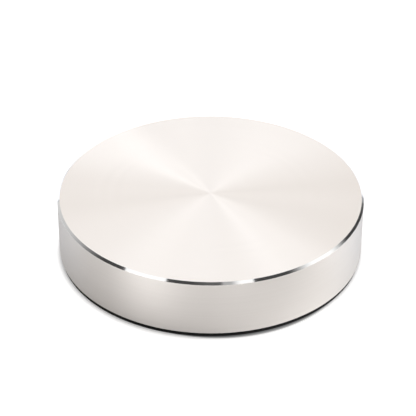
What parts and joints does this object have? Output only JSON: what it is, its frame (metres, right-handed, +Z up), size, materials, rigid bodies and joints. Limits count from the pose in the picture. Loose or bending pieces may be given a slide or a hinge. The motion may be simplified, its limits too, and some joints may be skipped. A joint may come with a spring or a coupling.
{
  "type": "record weight clamp",
  "caption": "Low turned aluminium disc with a spun top face, polished rim chamfer and black base pad; a blind bore drops over a turntable spindle to press a record flat.",
  "frame": {"origin": "centre of the pad's underside, on the spindle axis", "axes": "+Z up along the spindle axis, from the pad to the top face; the part is round, so +X and +Y are free"},
  "size_m": [0.08, 0.08, 0.0164],
  "materials": {
    "body_aluminium": "clear satin aluminium: top face spun in fine rings, side fine turned, rim chamfer cut bright",
    "pad_rubber": "matte black sheet rubber"
  },
  "bodies": {
    "root": {"weight_body": "body_aluminium", "base_pad": "pad_rubber"}
  },
  "joints": []
}
